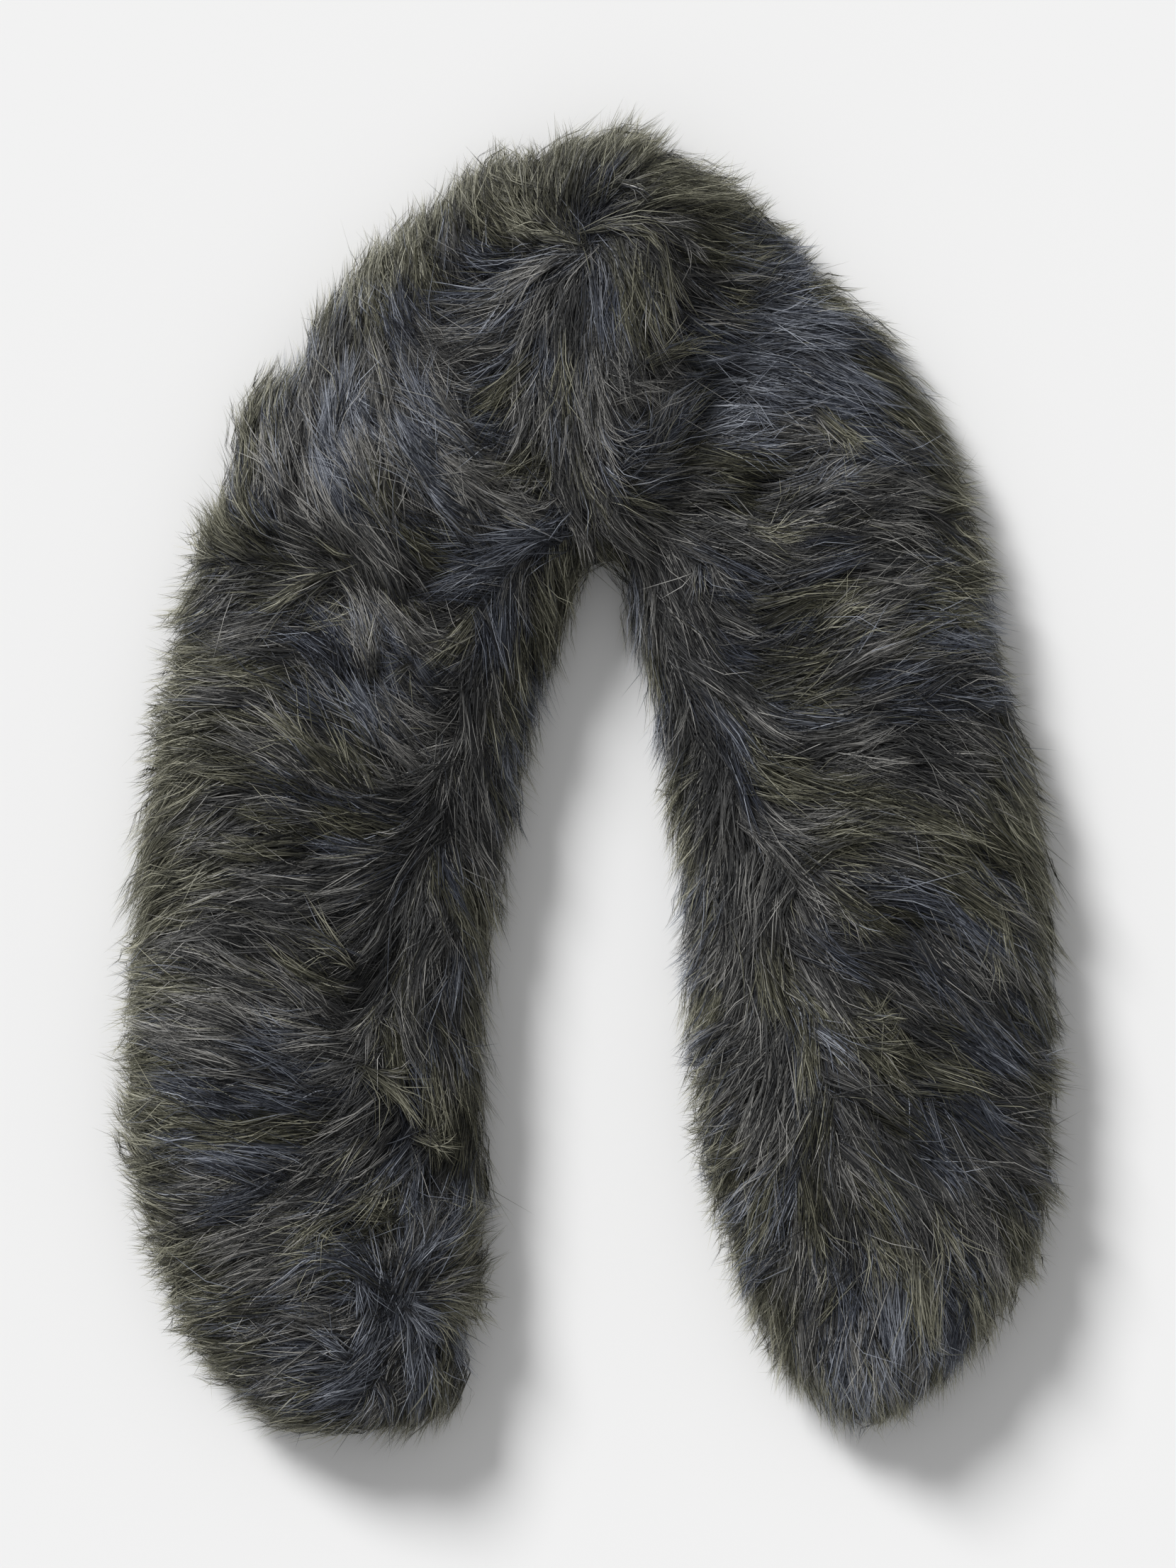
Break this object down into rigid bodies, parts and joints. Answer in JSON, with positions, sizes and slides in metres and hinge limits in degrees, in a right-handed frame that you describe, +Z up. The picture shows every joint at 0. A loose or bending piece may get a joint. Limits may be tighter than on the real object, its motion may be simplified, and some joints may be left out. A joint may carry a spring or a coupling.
{
  "type": "faux fur collar wrap",
  "caption": "Long-pile charcoal fur collar wrap laid flat as an arch, with rounded ends, a buckled fold at the neck and inner rolls.",
  "frame": {"origin": "centre of the bounding box in plan, on the surface that the wrap lies on", "axes": "+Z up, out of the surface; +Y from the two ends towards the neck fold; +X from the left leg to the right leg, seen from above"},
  "size_m": [0.4336, 0.603, 0.0637],
  "materials": {
    "front_fur": "long soft pile, charcoal roots with olive-grey and slate tips",
    "fold_fur": "long soft pile standing over the neck fold, charcoal with blue-grey tips",
    "back_fur": "long soft pile, darker, pressed flat where it rests"
  },
  "bodies": {
    "root": {"front_panel_left": "front_fur", "front_panel_shoulder": "front_fur", "neck_fold": "fold_fur", "front_panel_right": "front_fur", "back_panel_left": "back_fur", "back_panel_neck": "back_fur", "back_panel_right": "back_fur"}
  },
  "joints": []
}
